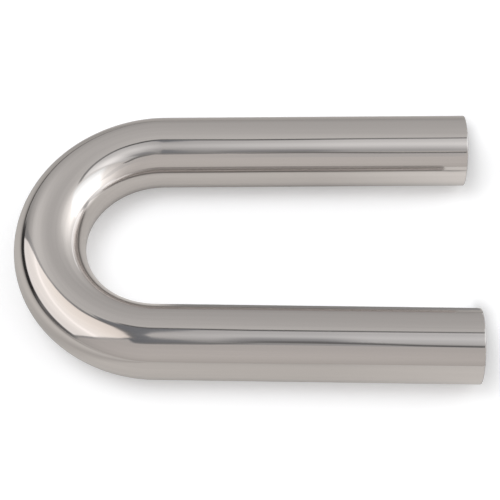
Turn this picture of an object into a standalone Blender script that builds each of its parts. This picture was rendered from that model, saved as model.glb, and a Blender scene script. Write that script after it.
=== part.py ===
# A return bend: one length of thin-walled stainless tube, bent cold round a die, with a mandrel
# inside it, until its two straight legs lie side by side. It rests flat, with the bend at -X, the
# open ends at +X and the underside of the tube at Z = 0.

import math

import bmesh
import bpy
from mathutils import Matrix, Vector

# Tube, in metres
TUBE_OD = 0.0413  # 1 5/8 in tube
WALL = 0.00165  # 16 gauge
EDGE_BREAK = 0.0004  # rounding of the cut ends' edges, outside and in the bore

# Bend, in metres and radians
BEND_RADIUS = 0.0635  # 2 1/2 in, from the bend's axis to the tube's centreline
LEG_LENGTH = 0.176  # straight tube from the end of the bend to the cut
SPRING_BACK = math.radians(0.6)  # what each leg opens by as the tube comes off the die

# What bending does to the tube's section, which the legs don't have
FLATTENING = 0.015  # share of the width across the bend that is lost; the die holds the height
WALL_FLOW = 0.65  # how fully the wall gives way: thinner where it is stretched, thicker inside
SETTLING = math.radians(35)  # turn of the bend over which the section changes

# Facets
SIDES = 48
BEND_STEPS = 48
EDGE_STEPS = 2
SMOOTH_LIMIT = math.radians(50)

STEEL = {"Base Color": (0.62, 0.60, 0.58, 1.0), "Metallic": 1.0, "Roughness": 0.12}

TUBE_RADIUS = TUBE_OD / 2
BORE_RADIUS = TUBE_RADIUS - WALL
BEND_ANGLE = math.pi - 2 * SPRING_BACK
FIRST_ANGLE = math.pi / 2 + SPRING_BACK  # where the first leg meets the bend


def clear_scene():
    for obj in list(bpy.data.objects):
        bpy.data.objects.remove(obj, do_unlink=True)


def polished_steel():
    material = bpy.data.materials.new("polished_steel")
    material.use_nodes = True
    shader = material.node_tree.nodes["Principled BSDF"]
    for name, value in STEEL.items():
        shader.inputs[name].default_value = value
    return material


# The tube is drawn round the bend's axis, the line X = Y = 0, with its centreline at Z = 0. A side is
# 1 for the leg at +Y, which is drawn first, and -1 for the one at -Y.


def leg_direction(side):
    return Vector((math.cos(SPRING_BACK), side * math.sin(SPRING_BACK), 0))


def outward_direction(side):
    return Vector((-math.sin(SPRING_BACK), side * math.cos(SPRING_BACK), 0))


def cut_centre(side):
    return BEND_RADIUS * outward_direction(side) + LEG_LENGTH * leg_direction(side)


def cut_face(bm):
    # The ring of metal that the saw leaves at the first leg's open end.
    upright = Vector((0, 0, 1))
    turned = Matrix((outward_direction(1), upright, leg_direction(1))).transposed().to_4x4()
    place = Matrix.Translation(cut_centre(1)) @ turned
    for radius in (TUBE_RADIUS, BORE_RADIUS):
        bmesh.ops.create_circle(bm, segments=SIDES, radius=radius, matrix=place)
    return bmesh.ops.bridge_loops(bm, edges=bm.edges[:])["faces"]


def with_edges(faces):
    # Faces that are given with their edges move on as they are drawn, and leave none behind.
    return [*faces, *dict.fromkeys(edge for face in faces for edge in face.edges)]


def only(kind, items):
    return [item for item in items if isinstance(item, kind)]


def draw_leg(bm, section, vector):
    drawn = bmesh.ops.extrude_face_region(bm, geom=with_edges(section))["geom"]
    bmesh.ops.translate(bm, verts=only(bmesh.types.BMVert, drawn), vec=vector)
    return only(bmesh.types.BMFace, drawn)


def turn_bend(bm, section):
    turned = bmesh.ops.spin(
        bm,
        geom=with_edges(section),
        cent=(0, 0, 0),
        axis=(0, 0, 1),
        angle=BEND_ANGLE,
        steps=BEND_STEPS,
    )
    return only(bmesh.types.BMFace, turned["geom_last"])


def bent_share(point):
    # 0 on the legs, rising smoothly to 1 where the section has taken its bent shape.
    turned = math.atan2(point.y, point.x) % (2 * math.pi) - FIRST_ANGLE
    share = min(turned, BEND_ANGLE - turned) / min(SETTLING, BEND_ANGLE / 2)
    share = min(max(share, 0.0), 1.0)
    return share * share * (3 - 2 * share)


def settled(across, height, share):
    # Where a point of the round section moves to. Across runs outward from the tube's centreline.
    radius = math.hypot(across, height)
    in_bore = radius < TUBE_RADIUS - WALL / 2
    if in_bore:
        stretch = (BEND_RADIUS + across) / BEND_RADIUS
        wall = WALL * stretch ** (-WALL_FLOW * share)
        across *= (TUBE_RADIUS - wall) / radius
        height *= (TUBE_RADIUS - wall) / radius
    return across * (1 - FLATTENING * share), height


def settle_section(bm):
    for vert in bm.verts:
        share = bent_share(vert.co)
        if share > 0:
            outward = Vector((vert.co.x, vert.co.y, 0)).normalized()
            across, height = settled(vert.co.dot(outward) - BEND_RADIUS, vert.co.z, share)
            vert.co = outward * (BEND_RADIUS + across) + Vector((0, 0, height))


def break_edges(bm, cuts):
    cuts = set(cuts)
    rims = [edge for edge in bm.edges if len(cuts.intersection(edge.link_faces)) == 1]
    bmesh.ops.bevel(
        bm,
        geom=rims,
        offset=min(EDGE_BREAK, WALL / 3),
        offset_type="OFFSET",
        segments=EDGE_STEPS,
        profile=0.5,
        affect="EDGES",
    )


def bent_tube():
    bm = bmesh.new()
    first_cut = cut_face(bm)
    section = draw_leg(bm, first_cut, -LEG_LENGTH * leg_direction(1))
    section = turn_bend(bm, section)
    second_cut = draw_leg(bm, section, LEG_LENGTH * leg_direction(-1))
    settle_section(bm)
    break_edges(bm, first_cut + second_cut)
    bmesh.ops.recalc_face_normals(bm, faces=bm.faces)
    mesh = bpy.data.meshes.new("bent_tube")
    bm.to_mesh(mesh)
    bm.free()
    mesh.shade_smooth()
    mesh.set_sharp_from_angle(angle=SMOOTH_LIMIT)
    mesh.materials.append(polished_steel())
    return bpy.data.objects.new("bent_tube", mesh)


def bend_axis():
    # Where the bend's axis stands, so that the origin lies under the middle of the whole bend.
    crown_reach = BEND_RADIUS + TUBE_RADIUS * (1 - FLATTENING)
    leg_reach = cut_centre(1).x + TUBE_RADIUS * math.sin(SPRING_BACK)
    return Vector(((crown_reach - leg_reach) / 2, 0, TUBE_RADIUS))


clear_scene()
tube = bent_tube()
tube.location = bend_axis()
bpy.context.scene.collection.objects.link(tube)
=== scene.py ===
import math

import bpy
from mathutils import Matrix, Vector


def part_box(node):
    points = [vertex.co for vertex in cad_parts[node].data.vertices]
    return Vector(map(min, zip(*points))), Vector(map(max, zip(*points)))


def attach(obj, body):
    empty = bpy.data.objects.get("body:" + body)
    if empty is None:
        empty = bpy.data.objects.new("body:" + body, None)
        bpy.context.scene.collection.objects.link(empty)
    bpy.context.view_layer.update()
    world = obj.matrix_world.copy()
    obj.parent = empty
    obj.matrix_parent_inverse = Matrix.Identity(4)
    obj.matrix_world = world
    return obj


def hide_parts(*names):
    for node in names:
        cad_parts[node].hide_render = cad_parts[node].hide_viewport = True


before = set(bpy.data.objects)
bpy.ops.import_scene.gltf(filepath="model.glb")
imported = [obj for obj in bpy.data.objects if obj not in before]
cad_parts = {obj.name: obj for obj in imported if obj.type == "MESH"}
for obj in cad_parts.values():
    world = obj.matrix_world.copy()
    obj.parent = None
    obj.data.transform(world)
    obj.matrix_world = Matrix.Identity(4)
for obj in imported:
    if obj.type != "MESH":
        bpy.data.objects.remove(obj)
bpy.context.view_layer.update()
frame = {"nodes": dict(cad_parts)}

print("frame loaded:", ", ".join(frame["nodes"]))


# ways to select, shared by the pieces

def selectNothing():
    if bpy.context.mode != "OBJECT":
        bpy.ops.object.mode_set(mode="OBJECT")
    bpy.ops.object.select_all(action="DESELECT")


def makeActive(piece):
    selectNothing()
    piece.select_set(True)
    bpy.context.view_layer.objects.active = piece


def pickEdges(piece, wanted):
    # leaves edit mode open, with only the edges that wanted(start, end) says yes to
    makeActive(piece)
    bpy.ops.object.mode_set(mode="EDIT")
    bpy.ops.mesh.select_mode(type="EDGE")
    bpy.ops.mesh.select_all(action="DESELECT")
    bpy.ops.object.mode_set(mode="OBJECT")
    mesh = piece.data
    for edge in mesh.edges:
        start, end = (mesh.vertices[index].co for index in edge.vertices)
        edge.select = wanted(start, end)
    bpy.ops.object.mode_set(mode="EDIT")


# the tube, in metres and radians

tubeSettings = {
    "name": "tube_polished",
    "outside": 0.0413,
    "wall": 0.00165,
    "edgeBreak": 0.0004,
    "bendRadius": 0.0635,
    "legLength": 0.176,
    "springBack": math.radians(0.6),
    "flattening": 0.015,  # share of the width that the bend loses
    "wallFlow": 0.65,  # thinner outside the bend, thicker inside
    "settling": math.radians(35),  # turn over which the section changes
    "sides": 96,
    "legSteps": 44,
    "rimStep": 0.0009,
    "bendSteps": 132,
    "edgeSteps": 3,
    "edgeProfile": 0.5,  # a plain round
    "smoothLimit": math.radians(40),
    "mergeWithin": 0.000001,
    "cutWithin": 0.00001,  # how near to a cut's plane a point counts as on it
}

tubeLow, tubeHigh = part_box("bent_tube")
tubeRadius = tubeSettings["outside"] / 2
boreRadius = tubeRadius - tubeSettings["wall"]
middleRadius = tubeRadius - tubeSettings["wall"] / 2  # parts the outside's points from the bore's
bendAngle = math.pi - 2 * tubeSettings["springBack"]
firstAngle = math.pi / 2 + tubeSettings["springBack"]
crownReach = tubeSettings["bendRadius"] + tubeRadius * (1 - tubeSettings["flattening"])
bendAxis = Vector((tubeLow.x + crownReach, (tubeLow.y + tubeHigh.y) / 2, tubeRadius))


def legDirection(side):
    # side is 1 for the leg at +Y and -1 for the one at -Y
    return Vector((math.cos(tubeSettings["springBack"]), side * math.sin(tubeSettings["springBack"]), 0))


def legStart(side):
    outward = Vector((-math.sin(tubeSettings["springBack"]), side * math.cos(tubeSettings["springBack"]), 0))
    return bendAxis + tubeSettings["bendRadius"] * outward


def legEnd(side):
    return legStart(side) + tubeSettings["legLength"] * legDirection(side)


def drawTube():
    facing = (0, math.pi / 2, tubeSettings["springBack"])
    sides = tubeSettings["sides"]
    selectNothing()
    bpy.ops.mesh.primitive_circle_add(vertices=sides, radius=tubeRadius, location=legEnd(1), rotation=facing)
    tube = bpy.context.active_object
    tube.name = tube.data.name = tubeSettings["name"]
    bpy.ops.object.transform_apply(location=True, rotation=True, scale=True)
    bpy.ops.object.mode_set(mode="EDIT")
    bpy.ops.mesh.select_mode(type="EDGE")
    bpy.ops.mesh.primitive_circle_add(vertices=sides, radius=boreRadius, location=legEnd(1), rotation=facing)
    bpy.ops.mesh.select_all(action="SELECT")
    bpy.ops.mesh.bridge_edge_loops()
    bpy.ops.mesh.select_mode(type="FACE")
    drawLeg(-legDirection(1), fromCut=True)
    bpy.ops.mesh.spin(steps=tubeSettings["bendSteps"], angle=bendAngle, center=bendAxis, axis=(0, 0, -1))
    drawLeg(legDirection(-1), fromCut=False)
    bpy.ops.mesh.select_all(action="SELECT")
    bpy.ops.mesh.remove_doubles(threshold=tubeSettings["mergeWithin"])
    bpy.ops.mesh.normals_make_consistent(inside=False)
    bpy.ops.object.mode_set(mode="OBJECT")
    return tube


def drawLeg(direction, fromCut):
    # the short step beside the cut keeps the shading of its broken edge off the leg
    evenStep = (tubeSettings["legLength"] - tubeSettings["rimStep"]) / tubeSettings["legSteps"]
    steps = [tubeSettings["rimStep"]] + [evenStep] * tubeSettings["legSteps"]
    for step in steps if fromCut else reversed(steps):
        bpy.ops.mesh.extrude_region_move(TRANSFORM_OT_translate={"value": direction * step})


def breakRims(tube):
    # both edges of each cut, outside and in the bore, lose their burr
    def onRim(start, end):
        for side in (1, -1):
            offsets = [point - legEnd(side) for point in (start, end)]
            heights = [abs(offset.dot(legDirection(side))) for offset in offsets]
            sameRing = abs(offsets[0].length - offsets[1].length) < tubeSettings["wall"] / 2
            if sameRing and max(heights) < tubeSettings["cutWithin"]:
                return True
        return False

    pickEdges(tube, onRim)
    bpy.ops.mesh.bevel(
        offset=tubeSettings["edgeBreak"],
        segments=tubeSettings["edgeSteps"],
        profile=tubeSettings["edgeProfile"],
        affect="EDGES",
    )
    bpy.ops.object.mode_set(mode="OBJECT")


def fromAxis(point):
    # level, from the axis that the tube is bent round
    return Vector((point.x - bendAxis.x, point.y - bendAxis.y, 0))


def turnedBy(point):
    # how far round the bend a point lies, from the leg at +Y
    return math.atan2(point.y - bendAxis.y, point.x - bendAxis.x) % (2 * math.pi) - firstAngle


def bentShare(point):
    # 0 on the legs, rising smoothly to 1 where the section has its bent shape
    turned = turnedBy(point)
    share = min(turned, bendAngle - turned) / tubeSettings["settling"]
    share = min(max(share, 0.0), 1.0)
    return share * share * (3 - 2 * share)


def straightPlace(point):
    # where a point of the tube was before the bending: along the tube, and round its section
    turned = turnedBy(point)
    if 0 <= turned <= bendAngle:
        along = (turned - bendAngle / 2) * tubeSettings["bendRadius"]
        across = fromAxis(point).length - tubeSettings["bendRadius"]
    else:
        side = 1 if point.y > bendAxis.y else -1
        offset = point - legStart(side)
        halfBend = bendAngle / 2 * tubeSettings["bendRadius"]
        along = -side * (offset.dot(legDirection(side)) + halfBend)
        across = side * offset.dot(Vector((-legDirection(side).y, legDirection(side).x, 0)))
    return Vector((along, across, point.z - bendAxis.z))


def keepStraightPlaces(tube):
    places = tube.data.attributes.new("straight", "FLOAT_VECTOR", "POINT")
    for vertex in tube.data.vertices:
        places.data[vertex.index].vector = straightPlace(vertex.co)


def settleSection(tube):
    for vertex in tube.data.vertices:
        share = bentShare(vertex.co)
        if share > 0:
            outward = fromAxis(vertex.co).normalized()
            across = (vertex.co - bendAxis).dot(outward) - tubeSettings["bendRadius"]
            height = vertex.co.z - bendAxis.z
            radius = math.hypot(across, height)
            if radius < middleRadius:
                stretch = 1 + across / tubeSettings["bendRadius"]
                wall = tubeSettings["wall"] * stretch ** (-tubeSettings["wallFlow"] * share)
                across *= (tubeRadius - wall) / radius
                height *= (tubeRadius - wall) / radius
            across *= 1 - tubeSettings["flattening"] * share
            place = bendAxis + outward * (tubeSettings["bendRadius"] + across)
            vertex.co = (place.x, place.y, bendAxis.z + height)


slotOrder = ("outside", "bore", "cuts")


def sortFaces(tube):
    # a face is the outside's unless it proves to be a cut's or the bore's
    places = tube.data.attributes["straight"].data
    margin = tubeSettings["edgeBreak"] + tubeSettings["cutWithin"]
    reach = max(abs(place.vector.x) for place in places) - margin
    for face in tube.data.polygons:
        corners = [places[index].vector for index in face.vertices]
        radii = [math.hypot(corner.y, corner.z) for corner in corners]
        if all(abs(corner.x) > reach for corner in corners):
            face.material_index = slotOrder.index("cuts")
        elif max(radii) < middleRadius:
            face.material_index = slotOrder.index("bore")


def makeTube():
    tube = drawTube()
    keepStraightPlaces(tube)
    breakRims(tube)
    sortFaces(tube)
    settleSection(tube)
    makeActive(tube)
    bpy.ops.object.shade_smooth_by_angle(angle=tubeSettings["smoothLimit"])
    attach(tube, "root")
    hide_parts("bent_tube")
    return tube


# finishes

def newMaterial(name):
    material = bpy.data.materials.new(name)
    material.use_nodes = True
    return material, material.node_tree, material.node_tree.nodes["Principled BSDF"]


def addNode(tree, kind, settings=None, **inputs):
    node = tree.nodes.new(kind)
    for name, value in (settings or {}).items():
        setattr(node, name, value)
    for name, value in inputs.items():
        node.inputs[name].default_value = value
    return node


def addStraightPlace(tree):
    # each point's place before the bending, so that a pattern follows the bend
    return addNode(tree, "ShaderNodeAttribute", {"attribute_name": "straight"}).outputs["Vector"]


noiseRange = (0.3, 0.7)  # nearly all of a noise's values lie here


def addNoise(tree, place, stretch, detail=3.0, rough=0.6):
    stretched = addNode(tree, "ShaderNodeMapping", Scale=stretch)
    noise = addNode(tree, "ShaderNodeTexNoise", Scale=1.0, Detail=detail, Roughness=rough)
    tree.links.new(place, stretched.inputs["Vector"])
    tree.links.new(stretched.outputs["Vector"], noise.inputs["Vector"])
    return noise.outputs["Fac"]


def addRange(tree, value, fromLow, fromHigh, toLow, toHigh):
    ranged = addNode(tree, "ShaderNodeMapRange")
    limits = {"From Min": fromLow, "From Max": fromHigh, "To Min": toLow, "To Max": toHigh}
    for name, limit in limits.items():
        ranged.inputs[name].default_value = limit
    tree.links.new(value, ranged.inputs["Value"])
    return ranged.outputs["Result"]


def addMath(tree, operation, first, second):
    node = addNode(tree, "ShaderNodeMath", {"operation": operation})
    for socket, value in zip(node.inputs, (first, second)):
        if isinstance(value, (int, float)):
            socket.default_value = value
        else:
            tree.links.new(value, socket)
    return node.outputs["Value"]


def addBump(tree, height, depth, under=None):
    bump = addNode(tree, "ShaderNodeBump", Distance=depth)
    tree.links.new(height, bump.inputs["Height"])
    if under:
        tree.links.new(under, bump.inputs["Normal"])
    return bump.outputs["Normal"]


# scales are in steps per metre: along the tube, then twice across it
steelSettings = {
    "colour": (0.641, 0.611, 0.596, 1.0),
    # the second colour is darker and lies on the leg at -Y, fading in over the bend: painted shade
    "shadedAndWorn": (0.612, 0.583, 0.569, 1.0),
    "shadeReach": 0.15,  # to each side of the middle of the bend, along the tube
    "shadeAndWear": {"stretch": (4, 300, 300), "swing": 0.8},  # streaks move its edge either way
    "streaks": {"stretch": (5, 420, 420), "smooth": 0.045, "dull": 0.085},
    "smudges": {"stretch": (22, 40, 40), "from": 0.52, "to": 0.72, "dull": 0.04},
    "waves": {"stretch": (9, 45, 45), "depth": 0.00012},
    "lines": {"stretch": (6, 1500, 1500), "depth": 0.000002},
}


def polishedSteel():
    material, tree, shader = newMaterial("polishedSteel")
    shader.inputs["Metallic"].default_value = 1.0
    place = addStraightPlace(tree)
    split = addNode(tree, "ShaderNodeSeparateXYZ")
    tree.links.new(place, split.inputs["Vector"])
    reach = steelSettings["shadeReach"]
    # painted shade: the steel turns darker towards the leg at -Y, over the bend, with a streaky edge
    base = addNode(tree, "ShaderNodeMixRGB", Color1=steelSettings["colour"], Color2=steelSettings["shadedAndWorn"])
    shadeAndWear, swing = steelSettings["shadeAndWear"], steelSettings["shadeAndWear"]["swing"]
    uneven = addRange(tree, addNoise(tree, place, shadeAndWear["stretch"]), *noiseRange, -swing, swing)
    shadedAndWorn = addMath(tree, "ADD", addRange(tree, split.outputs["X"], -reach, reach, 0.0, 1.0), uneven)
    tree.links.new(shadedAndWorn, base.inputs["Fac"])
    tree.links.new(base.outputs["Color"], shader.inputs["Base Color"])
    streaks, smudges = steelSettings["streaks"], steelSettings["smudges"]
    waves, lines = steelSettings["waves"], steelSettings["lines"]
    streaked = addRange(
        tree, addNoise(tree, place, streaks["stretch"]), *noiseRange, streaks["smooth"], streaks["dull"]
    )
    smudged = addRange(
        tree, addNoise(tree, place, smudges["stretch"]), smudges["from"], smudges["to"], 0.0, smudges["dull"]
    )
    wavy = addBump(tree, addNoise(tree, place, waves["stretch"], detail=1.0), waves["depth"])
    lined = addBump(tree, addNoise(tree, place, lines["stretch"]), lines["depth"], wavy)
    tree.links.new(addMath(tree, "ADD", streaked, smudged), shader.inputs["Roughness"])
    tree.links.new(lined, shader.inputs["Normal"])
    return material


boreSettings = {
    "colour": (0.50, 0.48, 0.46, 1.0),
    "drawing": {"stretch": (4, 900, 900), "depth": 0.000008},
    "scale": {"stretch": (60, 160, 160), "smooth": 0.28, "dull": 0.42},
}


def millSteel():
    # the bore keeps the dull, drawn finish of the tube mill
    material, tree, shader = newMaterial("millSteel")
    shader.inputs["Base Color"].default_value = boreSettings["colour"]
    shader.inputs["Metallic"].default_value = 1.0
    place = addStraightPlace(tree)
    drawing, scale = boreSettings["drawing"], boreSettings["scale"]
    blotched = addNoise(tree, place, scale["stretch"])
    dulled = addRange(tree, blotched, *noiseRange, scale["smooth"], scale["dull"])
    drawn = addBump(tree, addNoise(tree, place, drawing["stretch"]), drawing["depth"])
    tree.links.new(dulled, shader.inputs["Roughness"])
    tree.links.new(drawn, shader.inputs["Normal"])
    return material


cutSettings = {
    "colour": (0.42, 0.41, 0.40, 1.0),
    "sawing": {"stretch": (60, 60, 2600), "depth": 0.000012},
    "shadeAndWear": {"stretch": (300, 300, 300), "smooth": 0.20, "dull": 0.34},
}


def sawnSteel():
    # level lines, as a cold saw leaves them, dressed lightly
    material, tree, shader = newMaterial("sawnSteel")
    shader.inputs["Base Color"].default_value = cutSettings["colour"]
    shader.inputs["Metallic"].default_value = 1.0
    place = addStraightPlace(tree)
    sawing, shadeAndWear = cutSettings["sawing"], cutSettings["shadeAndWear"]
    uneven = addNoise(tree, place, shadeAndWear["stretch"])
    shadedAndWorn = addRange(tree, uneven, *noiseRange, shadeAndWear["smooth"], shadeAndWear["dull"])
    sawn = addBump(tree, addNoise(tree, place, sawing["stretch"], detail=1.0), sawing["depth"])
    tree.links.new(shadedAndWorn, shader.inputs["Roughness"])
    tree.links.new(sawn, shader.inputs["Normal"])
    return material


# camera, as the photograph was taken

cameraSettings = {
    "target": (0.00417, -0.00449, 0.02065),
    "azimuth": math.radians(1.9094),
    "elevation": math.radians(57.8847),
    "roll": math.radians(-1.4321),
    "distance": 0.7592,
    "lens": 96.6,
    "nearest": 0.01,
}


def placeCamera():
    azimuth, elevation = cameraSettings["azimuth"], cameraSettings["elevation"]
    level = math.cos(elevation)
    back = Vector((math.sin(azimuth) * level, -math.cos(azimuth) * level, math.sin(elevation)))
    right = Vector((0, 0, 1)).cross(back).normalized()
    upward = back.cross(right)
    turned = Matrix((right, upward, back)).transposed() @ Matrix.Rotation(cameraSettings["roll"], 3, "Z")
    camera = bpy.data.objects.new("camera", bpy.data.cameras.new("camera"))
    camera.data.lens = cameraSettings["lens"]
    camera.data.clip_start = cameraSettings["nearest"]
    camera.location = Vector(cameraSettings["target"]) + cameraSettings["distance"] * back
    camera.rotation_euler = turned.to_euler()
    bpy.context.scene.collection.objects.link(camera)
    bpy.context.scene.camera = camera


# studio: a light tent, which the polished tube mirrors. Its cloth is the world, and what stands out
# from the cloth hangs in it as panels. Colours are the light that comes from each, and red, green and
# blue are alike unless three are given.

def direction(azimuth, elevation):
    # degrees: azimuth from +X towards +Y, elevation up from the floor
    azimuth, elevation = math.radians(azimuth), math.radians(elevation)
    spread = math.cos(elevation)
    return Vector((spread * math.cos(azimuth), spread * math.sin(azimuth), math.sin(elevation)))


bendCrown = Vector((-0.10, 0.0, 0.03))


def fromBend(distance, *places):
    # places on the tent's sides are given as they are seen from the middle of the bend
    return [bendCrown + distance * direction(azimuth, elevation) for azimuth, elevation in places]


def overhead(height, *places):
    return [Vector((x, y, height)) for x, y in places]


def pointsAt(*places):
    return [Vector(place) for place in places]


def asColour(light):
    return light if isinstance(light, tuple) else (light, light, light)


def addRamp(tree, value, stops):
    # a colour ramp holds no more than 1, so a gain follows it
    ramp = addNode(tree, "ShaderNodeValToRGB")
    peak = max(max(asColour(light)) for light in stops.values())
    for index, (share, light) in enumerate(sorted(stops.items())):
        stop = ramp.color_ramp.elements[index] if index < 2 else ramp.color_ramp.elements.new(share)
        stop.position = share
        stop.color = (*(part / peak for part in asColour(light)), 1.0)
    gain = addNode(tree, "ShaderNodeVectorMath", {"operation": "SCALE"}, Scale=peak)
    tree.links.new(value, ramp.inputs["Fac"])
    tree.links.new(ramp.outputs["Color"], gain.inputs[0])
    return gain.outputs["Vector"]


def addVectorMath(tree, operation, first, second):
    node = addNode(tree, "ShaderNodeVectorMath", {"operation": operation})
    for socket, value in zip(node.inputs, (first, second)):
        if isinstance(value, (tuple, Vector)):
            socket.default_value = value
        else:
            tree.links.new(value, socket)
    return node.outputs["Value" if operation == "LENGTH" else "Vector"]


# the cloth: stops are shares of the way up, of the way from -Y to +Y, or of the reach from a direction
clothSettings = {
    "upward": {0.0: 0.50, 0.3: 0.58, 0.7: 0.60, 0.9: 0.63, 0.96: 0.68, 1.0: 0.71},
    "across": {
        0.0: (1.20, 1.15, 1.10),
        0.065: (1.15, 1.10, 1.06),
        0.18: (1.04, 1.0, 0.965),
        0.35: (0.99, 0.975, 0.955),
        0.5: (1.0, 0.985, 0.965),
        0.75: (0.985, 0.97, 0.95),
        0.9: (0.96, 0.945, 0.925),
        1.0: (0.945, 0.93, 0.91),
    },
    "rightGlow": {
        "towards": (2, 24),
        "stretch": (1, 1, 1.35),
        "reach": 1.1,
        "stops": {0.3: 1.1, 0.41: 0.82, 0.5: 0.60, 0.59: 0.42, 0.68: 0.22, 0.82: 0.07, 1.0: 0.0},
    },
    "lowRightGlow": {
        "towards": (15, 8),
        "stretch": (1, 1, 2.5),
        "reach": 1.1,
        "stops": {0.24: 0.1, 0.44: 0.25, 0.68: 0.18, 0.85: 0.1, 1.0: 0.0},
    },
    "backGlow": {
        "towards": (137, 42),
        "stretch": (1, 1, 0.8),
        "reach": 0.62,
        "stops": {0.0: 0.22, 0.2: 0.20, 0.35: 0.13, 0.5: 0.07, 0.7: 0.03, 1.0: 0.0},
    },
    "leftDark": {
        "towards": (168, 0),
        "stretch": (1, 1, 1),
        "reach": 0.72,
        "stops": {0.15: 0.08, 0.34: 0.25, 0.53: 0.62, 0.72: 0.85, 1.0: 1.0},
    },
}


def addLobe(tree, place, lobe):
    offset = addVectorMath(tree, "SUBTRACT", place, direction(*lobe["towards"]))
    stretched = addVectorMath(tree, "MULTIPLY", offset, lobe["stretch"])
    distance = addVectorMath(tree, "LENGTH", stretched, (0, 0, 0))
    return addRamp(tree, addMath(tree, "DIVIDE", distance, lobe["reach"]), lobe["stops"])


def lightWorld():
    world = bpy.data.worlds.new("tent")
    bpy.context.scene.world = world
    world.use_nodes = True
    tree = world.node_tree
    tree.nodes.clear()
    link = tree.links.new
    place = addNode(tree, "ShaderNodeTexCoord").outputs["Generated"]
    split = addNode(tree, "ShaderNodeSeparateXYZ")
    link(place, split.inputs["Vector"])
    cloth = addRamp(tree, split.outputs["Z"], clothSettings["upward"])
    for name in ("rightGlow", "lowRightGlow", "backGlow"):
        cloth = addVectorMath(tree, "ADD", cloth, addLobe(tree, place, clothSettings[name]))
    cloth = addVectorMath(tree, "MULTIPLY", cloth, addLobe(tree, place, clothSettings["leftDark"]))
    across = addRange(tree, split.outputs["Y"], -1, 1, 0, 1)
    cloth = addVectorMath(tree, "MULTIPLY", cloth, addRamp(tree, across, clothSettings["across"]))
    # the camera sees plain white, and the tube mirrors the cloth
    light = addNode(tree, "ShaderNodeBackground", Strength=1.0)
    white = addNode(tree, "ShaderNodeBackground", Color=(1, 1, 1, 1), Strength=1.0)
    path = addNode(tree, "ShaderNodeLightPath")
    mix = addNode(tree, "ShaderNodeMixShader")
    output = addNode(tree, "ShaderNodeOutputWorld")
    link(cloth, light.inputs["Color"])
    link(path.outputs["Is Camera Ray"], mix.inputs["Fac"])
    link(light.outputs["Background"], mix.inputs[1])
    link(white.outputs["Background"], mix.inputs[2])
    link(mix.outputs["Shader"], output.inputs["Surface"])


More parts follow.
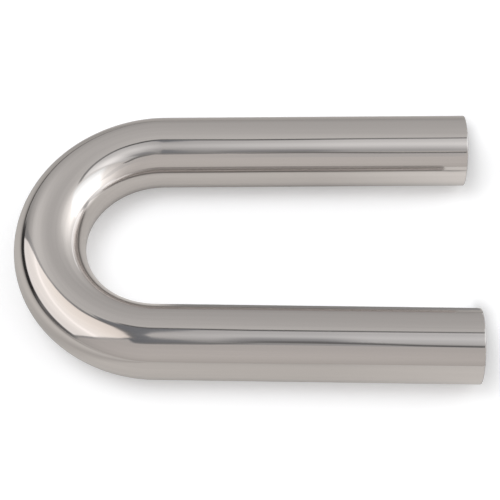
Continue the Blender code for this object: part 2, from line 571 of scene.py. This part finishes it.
# rows of points run from the left to the right, seen from inside, and from the low row up; stops run
# along "X" from left to right or along "Y" upwards, and crossStops the other way; soft edges are shares
# of the panel: left, right, low, high; share is how much a panel hides of what is behind it
tentPanels = {
    "leftSoftbox": {
        "rows": [
            fromBend(1.20, (152.6, 6), (170, 6), (188, 6), (204, 5.5), (217.5, 5)),
            fromBend(1.20, (154, 36), (171, 36.3), (188, 36.5), (206, 36), (228.3, 34)),
            fromBend(1.20, (156.2, 55), (176, 56.5), (196, 57), (218, 56.5), (238.5, 54.5)),
            fromBend(1.20, (168.5, 66.5), (176.5, 74), (192, 77.2), (216, 75.5), (243.5, 64.5)),
        ],
        "along": "Y",
        "stops": {
            0.0: (1.22, 1.19, 1.17),
            0.12: (1.18, 1.14, 1.11),
            0.23: (1.25, 1.21, 1.17),
            0.285: (1.30, 1.26, 1.22),
            0.315: (1.45, 1.39, 1.35),
            0.34: (1.62, 1.56, 1.52),
            0.37: (1.50, 1.45, 1.41),
            0.42: (1.38, 1.32, 1.27),
            0.55: (1.33, 1.265, 1.20),
            0.67: (1.28, 1.20, 1.13),
            0.83: (1.18, 1.10, 1.03),
            1.0: (1.07, 0.99, 0.93),
        },
        "soft": (0.02, 0.02, 0.04, 0.05),
    },
    "leftSoftboxRim": {
        "rows": [
            fromBend(1.25, (147, 4), (168, 4), (188, 4), (204, 3.5), (219.5, 3)),
            fromBend(1.25, (149, 36), (171, 36.3), (188, 36.5), (206, 36), (232.5, 33)),
            fromBend(1.25, (150, 56), (176, 56.5), (196, 57), (218, 56.5), (243.5, 53)),
            fromBend(1.25, (158, 70.5), (170, 78), (192, 80.5), (222, 79), (250, 65)),
        ],
        "along": "Y",
        "stops": {0.0: 0.32, 0.15: 0.36, 0.33: 0.50, 0.6: 0.48, 0.75: 0.40, 0.88: 0.26, 1.0: 0.20},
        "soft": (0.04, 0.05, 0.02, 0.08),
    },
    "leftGap": {
        "rows": [
            fromBend(1.22, (144, -1.3), (160, -1.3), (176, -1.3), (192, -1.3), (207, -1.3), (222, -1.3)),
            fromBend(1.22, (144, 8.5), (160, 8.5), (176, 8.5), (192, 8.5), (207, 8.5), (222, 8.5)),
        ],
        "along": "X",
        "stops": {
            0.0: 0.23, 0.06: 0.08, 0.12: 0.035, 0.45: 0.035, 0.5: 0.1, 0.59: 0.22, 0.74: 0.15,
            0.9: 0.2, 1.0: 0.36,
        },
        "soft": (0.05, 0.06, 0, 0.15),
    },
    "rightSoftbox": {
        "rows": [fromBend(0.9, (24, 7), (-19, 7)), fromBend(0.7, (27, 54), (-25, 54))],
        "along": "Y",
        "stops": {0.0: 1.9, 0.66: (1.86, 1.9, 1.92), 0.85: (1.38, 1.43, 1.45), 1.0: (1.04, 1.1, 1.13)},
        "soft": (0.14, 0.14, 0.1, 0.12),
    },
    "rightFoot": {
        "rows": [
            fromBend(0.85, (66, -1), (14, -1), (-38, -1)),
            fromBend(0.85, (66, 8), (14, 8), (-38, 8)),
        ],
        "along": "X",
        "stops": {
            0.0: 0.95, 0.17: 1.3, 0.46: 1.6, 0.51: 1.0, 0.56: 0.58, 0.61: 0.62, 0.65: 0.95,
            0.77: 1.2, 0.88: 1.5, 1.0: 0.9,
        },
        "soft": (0.08, 0.05, 0.1, 0.35),
    },
    "roof": {
        "rows": [
            overhead(1.26, (-0.19, -0.87), (0.74, -0.87)),
            overhead(1.26, (-0.19, 0.14), (0.74, 0.215)),
        ],
        "along": "X",
        "stops": {
            0.0: 0.62, 0.118: 0.74, 0.204: 0.81, 0.28: 0.85, 0.355: 0.92, 0.44: 0.93,
            0.53: 0.95, 0.65: 1.16, 0.8: 1.33, 1.0: 1.24,
        },
        "crossStops": {
            0.0: 0.50, 0.12: 0.54, 0.23: 0.64, 0.31: 0.72, 0.39: 0.81, 0.47: 0.92, 0.55: 0.99,
            0.62: 1.0, 0.68: 0.97, 0.8: 0.87, 0.9: 0.83, 1.0: 0.80,
        },
        "soft": (0.1, 0.1, 0, 0),
    },
    "roofSeam": {
        "rows": [
            overhead(1.255, (-0.30, 0.175), (-0.02, 0.085), (0.74, 0.205)),
            overhead(1.255, (-0.30, 0.305), (-0.02, 0.215), (0.74, 0.335)),
        ],
        "along": "X",
        "stops": {0.0: 0.10, 0.54: 0.10, 0.62: 0.22, 0.8: 0.28, 1.0: 0.30},
        "soft": (0, 0.1, 0.35, 0.35),
    },
    "roofGap": {
        "rows": [
            overhead(1.25, (-0.45, -0.98), (-0.08, -0.95)),
            overhead(1.25, (-0.45, -0.62), (-0.10, -0.62)),
            overhead(1.25, (-0.45, -0.26), (-0.197, -0.25)),
            overhead(1.25, (-0.45, 0.27), (-0.06, 0.20)),
        ],
        "along": "X",
        "stops": {0.0: (0.20, 0.21, 0.23), 0.5: (0.22, 0.23, 0.25), 1.0: (0.25, 0.26, 0.28)},
        "soft": (0, 0.12, 0.1, 0.05),
    },
    "frontSlot": {
        "rows": [
            pointsAt(
                (-0.29, -0.55, 0.62), (-0.056, -0.52, 0.67), (-0.026, -0.45, 0.62),
                (0.0, -0.265, 0.385), (0.046, -0.255, 0.375), (0.093, -0.27, 0.385),
                (0.142, -0.325, 0.43), (0.191, -0.335, 0.432), (0.24, -0.36, 0.47),
                (0.35, -0.37, 0.62),
            ),
            pointsAt(
                (-0.29, -0.34, 0.62), (-0.056, -0.39, 0.67), (-0.026, -0.35, 0.62),
                (0.0, -0.19, 0.385), (0.046, -0.18, 0.375), (0.093, -0.20, 0.385),
                (0.142, -0.25, 0.43), (0.191, -0.26, 0.432), (0.24, -0.28, 0.47),
                (0.35, -0.29, 0.62),
            ),
        ],
        "along": "X",
        "stops": {0.0: 0.25, 0.25: 0.25, 0.4: 0.18, 0.7: 0.13, 1.0: 0.12},
        "soft": (0.1, 0.05, 0.25, 0.65),
    },
    # two thin sheets of painted shade in the tube's mirror image: one between the legs, seen only as the leg
    # at -Y mirrors it directly, stands in for the shade between the legs; one over the leg at -Y, a faint
    # grey veil, dims what that leg mirrors
    "innerShadeSheet": {
        "rows": [
            pointsAt((-0.05, -0.03, 0.0005), (0.135, -0.03, 0.0005)),
            pointsAt((-0.05, -0.03, 0.034), (0.135, -0.03, 0.034)),
        ],
        "along": "X",
        "stops": {0.0: 0.22, 1.0: 0.22},
        "soft": (0.1, 0.02, 0, 0.3),
        "share": 0.85,
        "oneSided": True,
    },
    "lowShadeVeil": {
        "rows": [
            overhead(0.15, (-0.05, -0.12), (0.16, -0.12)),
            overhead(0.15, (-0.05, -0.045), (0.16, -0.045)),
        ],
        "along": "X",
        "stops": {0.0: (0.48, 0.50, 0.52), 1.0: (0.48, 0.50, 0.52)},
        "soft": (0.5, 0.05, 0.3, 0.25),
        "share": 0.28,
    },
    "cameraStand": {
        "rows": [
            pointsAt((-0.058, -0.36, 0.60), (0.119, -0.36, 0.60)),
            pointsAt((-0.029, -0.10, 0.363), (0.095, -0.10, 0.363)),
        ],
        "along": "Y",
        "stops": {0.0: (0.25, 0.25, 0.26), 1.0: (0.45, 0.45, 0.46)},
        "soft": (0.3, 0.3, 0, 0.4),
    },
}


def addSoftEdges(tree, across, upward, panel):
    # the panel's share, falling to 0 at each edge that is soft
    shown = panel.get("share", 1.0)
    fromRight, fromTop = (addMath(tree, "SUBTRACT", 1.0, way) for way in (across, upward))
    fromEdges = (across, fromRight, upward, fromTop)
    for fromEdge, share in zip(fromEdges, panel["soft"]):
        if share > 0:
            faded = addNode(tree, "ShaderNodeMapRange", {"interpolation_type": "SMOOTHSTEP"})
            faded.inputs["From Max"].default_value = share
            tree.links.new(fromEdge, faded.inputs["Value"])
            shown = addMath(tree, "MULTIPLY", faded.outputs["Result"], shown)
    if panel.get("oneSided"):
        # seen on its front alone, and only where the tube mirrors it directly
        behind = addNode(tree, "ShaderNodeNewGeometry").outputs["Backfacing"]
        bounces = addNode(tree, "ShaderNodeLightPath").outputs["Ray Depth"]
        shown = addMath(tree, "MULTIPLY", addMath(tree, "SUBTRACT", 1.0, behind), shown)
        shown = addMath(tree, "MULTIPLY", addMath(tree, "LESS_THAN", bounces, 2), shown)
    return shown


def panelLight(name, panel):
    material = bpy.data.materials.new(name)
    material.use_nodes = True
    tree = material.node_tree
    tree.nodes.clear()
    link = tree.links.new
    place = addNode(tree, "ShaderNodeUVMap")
    split = addNode(tree, "ShaderNodeSeparateXYZ")
    light = addNode(tree, "ShaderNodeEmission", Strength=1.0)
    output = addNode(tree, "ShaderNodeOutputMaterial")
    link(place.outputs["UV"], split.inputs["Vector"])
    colour = addRamp(tree, split.outputs[panel["along"]], panel["stops"])
    if "crossStops" in panel:
        crossing = "Y" if panel["along"] == "X" else "X"
        crossColour = addRamp(tree, split.outputs[crossing], panel["crossStops"])
        colour = addVectorMath(tree, "MULTIPLY", colour, crossColour)
    link(colour, light.inputs["Color"])
    if max(panel["soft"]) > 0:
        clear = addNode(tree, "ShaderNodeBsdfTransparent")
        mix = addNode(tree, "ShaderNodeMixShader")
        link(addSoftEdges(tree, split.outputs["X"], split.outputs["Y"], panel), mix.inputs["Fac"])
        link(clear.outputs["BSDF"], mix.inputs[1])
        link(light.outputs["Emission"], mix.inputs[2])
        link(mix.outputs["Shader"], output.inputs["Surface"])
    else:
        link(light.outputs["Emission"], output.inputs["Surface"])
    return material


def rowAndColumn(point, digits=3):
    # rounded, so that the points of a row sort as one
    return round(point.co.y, digits), round(point.co.x, digits)


def hangPanel(name, panel):
    # a grid whose points are pulled to their places, row by row
    rows = panel["rows"]
    selectNothing()
    bpy.ops.mesh.primitive_grid_add(
        x_subdivisions=len(rows[0]) - 1, y_subdivisions=len(rows) - 1, size=1, location=(0, 0, 0)
    )
    sheet = bpy.context.active_object
    sheet.name = name
    points = sorted(sheet.data.vertices, key=rowAndColumn)
    places = [place for row in rows for place in row]
    if len(points) != len(places):
        raise ValueError(name + " has " + str(len(points)) + " points")
    for point, place in zip(points, places):
        point.co = place
    sheet.data.materials.append(panelLight(name, panel))
    # the panels are there to be mirrored; the cloth and the lamps do the lighting
    sheet.visible_camera = False
    sheet.visible_diffuse = False
    sheet.visible_shadow = False
    return sheet


# a flag lies beside each open end, to deepen the shadow that the floor shows there
flagSettings = {
    "height": 0.004,
    "near": 0.0005,  # from the cut, outwards
    "far": 0.016,
    "low": -0.024,  # from the leg's centre line, towards -Y
    "high": 0.046,
    "along": "X",
    "stops": {0.0: 0.02, 1.0: 0.02},
    "soft": (0, 0.9, 0.66, 0.25),
    "share": 0.92,
}


def hangFlag(name, side):
    end, height = legEnd(side), flagSettings["height"]
    near, far = end.x + flagSettings["near"], end.x + flagSettings["far"]
    low, high = end.y + flagSettings["low"], end.y + flagSettings["high"]
    rows = [overhead(height, (near, low), (far, low)), overhead(height, (near, high), (far, high))]
    flag = hangPanel(name, {**flagSettings, "rows": rows})
    flag.visible_diffuse = True
    flag.visible_shadow = True
    flag.visible_glossy = False


floorSettings = {
    "size": 8.0,
    "roughness": 0.9,
    "colour": (0.834, 0.847, 0.869, 1.0),
    "lift": 0.247,
    "fullLift": 1.0,  # far away, where less light falls on it
    "liftReach": (0.4, 1.2),  # from the origin
    # as the tube mirrors it, the floor carries painted shade and painted light: shares over the reach to
    # each side of the tube, how much of them is lit and how much glows as painted light, and a painted pool
    # of light for what the right softbox throws on the floor before it
    "reach": 0.8,
    "across": {
        0.0: 0.70, 0.25: 0.745, 0.35: 0.78, 0.41: 0.80, 0.45: 0.82, 0.5: 0.81, 0.55: 0.72,
        0.6: 0.57, 1.0: 0.50,
    },
    "along": {
        0.0: 0.06, 0.12: 0.3, 0.25: 0.7, 0.34: 1.0, 0.375: 1.0, 0.39: 0.96, 0.41: 0.84,
        0.42: 0.78, 0.43: 0.88, 0.44: 1.0, 1.0: 1.0,
    },
    "front": {0.0: 1.0, 0.2: 1.0, 0.36: 0.0, 1.0: 0.0},
    "lit": (0.48, 0.47, 0.457),
    "paintedGlow": (0.40, 0.39, 0.378),
    "paintedFootLight": {0.0: 0.0, 0.53: 0.0, 0.58: 0.2, 0.64: 0.42, 0.75: 0.6, 1.0: 0.7},
    "paintedFootLightAcross": {0.0: 0.4, 0.44: 0.4, 0.5: 1.0, 0.53: 1.0, 0.58: 0.0, 1.0: 0.0},
    # painted contact shadow, darker next to the tube; shares from inside the U, over the tube's centre line,
    # to outside it
    "contactReach": 0.06,
    "paintedContactShadow": {
        0.0: 1.0, 0.27: 1.0, 0.31: 0.92, 0.36: 0.74, 0.41: 0.62, 0.6: 0.66, 0.66: 0.86,
        0.74: 1.0, 1.0: 1.0,
    },
}


def nearTube(tree, x, y):
    # 0 to 1 across the tube's centre line, round the bend and along both legs
    bendward = addMath(tree, "MINIMUM", addMath(tree, "SUBTRACT", x, bendAxis.x), 0.0)
    offset = addNode(tree, "ShaderNodeCombineXYZ")
    tree.links.new(bendward, offset.inputs["X"])
    tree.links.new(y, offset.inputs["Y"])
    distance = addVectorMath(tree, "LENGTH", offset.outputs["Vector"], (0, 0, 0))
    radius, reach = tubeSettings["bendRadius"], floorSettings["contactReach"]
    return addRange(tree, distance, radius - reach, radius + reach, 0, 1)


def mirroredFloor(tree, x, y):
    # painted shade and painted light: how bright each place of the floor looks in the tube, with a painted
    # contact shadow beside the tube, and the painted light that stands in for what the right softbox adds
    reach = floorSettings["reach"]
    along, across = (addRange(tree, value, -reach, reach, 0, 1) for value in (x, y))
    front = addRamp(tree, across, floorSettings["front"])
    alongShare = addVectorMath(tree, "MAXIMUM", addRamp(tree, along, floorSettings["along"]), front)
    shade = addVectorMath(tree, "MULTIPLY", alongShare, addRamp(tree, across, floorSettings["across"]))
    # painted contact shadow beside the tube, and a painted pool of light before the right softbox
    paintedContactShadow = addRamp(tree, nearTube(tree, x, y), floorSettings["paintedContactShadow"])
    paintedFootLightAcross = addRamp(tree, across, floorSettings["paintedFootLightAcross"])
    paintedFootLight = addVectorMath(tree, "MULTIPLY", addRamp(tree, along, floorSettings["paintedFootLight"]), paintedFootLightAcross)
    return addVectorMath(tree, "MULTIPLY", shade, paintedContactShadow), paintedFootLight


def whiteFloor():
    # the floor keeps the tube's shadow, and is lifted to white as the camera sees it; as the tube mirrors
    # it, its colour and glow carry painted shade and painted light
    material, tree, shader = newMaterial("whiteFloor")
    link = tree.links.new
    shader.inputs["Roughness"].default_value = floorSettings["roughness"]
    shader.inputs["Specular IOR Level"].default_value = 0.0
    path = addNode(tree, "ShaderNodeLightPath").outputs
    split = addNode(tree, "ShaderNodeSeparateXYZ")
    place = addNode(tree, "ShaderNodeTexCoord").outputs["Object"]
    link(place, split.inputs["Vector"])
    shade, paintedFootLight = mirroredFloor(tree, split.outputs["X"], split.outputs["Y"])
    base = addNode(tree, "ShaderNodeMixRGB", Color1=floorSettings["colour"])
    link(path["Is Glossy Ray"], base.inputs["Fac"])
    link(addVectorMath(tree, "MULTIPLY", shade, floorSettings["lit"]), base.inputs["Color2"])
    link(base.outputs["Color"], shader.inputs["Base Color"])
    seen = addMath(tree, "MAXIMUM", path["Is Camera Ray"], path["Is Transmission Ray"])
    away = addVectorMath(tree, "LENGTH", place, (0, 0, 0))
    nearLift, farLift = floorSettings["lift"], floorSettings["fullLift"]
    lift = addRange(tree, away, *floorSettings["liftReach"], nearLift, farLift)
    lift = addMath(tree, "MULTIPLY", seen, lift)
    paintedGlow = addVectorMath(tree, "MULTIPLY", shade, floorSettings["paintedGlow"])
    emission = addNode(tree, "ShaderNodeMixRGB")
    link(path["Is Glossy Ray"], emission.inputs["Fac"])
    link(lift, emission.inputs["Color1"])
    link(addVectorMath(tree, "ADD", paintedGlow, paintedFootLight), emission.inputs["Color2"])
    link(emission.outputs["Color"], shader.inputs["Emission Color"])
    shader.inputs["Emission Strength"].default_value = 1.0
    return material


def layFloor():
    selectNothing()
    bpy.ops.mesh.primitive_plane_add(size=floorSettings["size"], location=(0, 0, 0))
    floor = bpy.context.active_object
    floor.name = "floor"
    floor.data.materials.append(whiteFloor())


# broad lamps above the bend, which give the floor its soft shadows; in degrees, metres and watts
lampSettings = {
    "backLamp": {"azimuth": 180, "elevation": 75, "distance": 2.0, "diameter": 1.2, "power": 9.4},
    "frontLamp": {"azimuth": 215, "elevation": 60, "distance": 2.0, "diameter": 1.2, "power": 4.66},
}


def hangLamp(name, settings):
    light = bpy.data.lights.new(name, "AREA")
    light.shape = "DISK"
    light.size = settings["diameter"]
    light.energy = settings["power"]
    lamp = bpy.data.objects.new(name, light)
    towards = direction(settings["azimuth"], settings["elevation"])
    lamp.location = towards * settings["distance"]
    lamp.rotation_euler = towards.to_track_quat("Z", "Y").to_euler()
    lamp.visible_glossy = False
    bpy.context.scene.collection.objects.link(lamp)


placeCamera()
print("camera placed")
layFloor()
lightWorld()
for name, values in lampSettings.items():
    hangLamp(name, values)
for name, values in tentPanels.items():
    hangPanel(name, values)
hangFlag("upperFlag", 1)
hangFlag("lowerFlag", -1)
print("studio lit")

tube = makeTube()
finishes = {"outside": polishedSteel(), "bore": millSteel(), "cuts": sawnSteel()}
for slot in slotOrder:
    tube.data.materials.append(finishes[slot])
print("tube bent:", len(tube.data.polygons), "faces")

bpy.context.scene.view_settings.view_transform = "Standard"
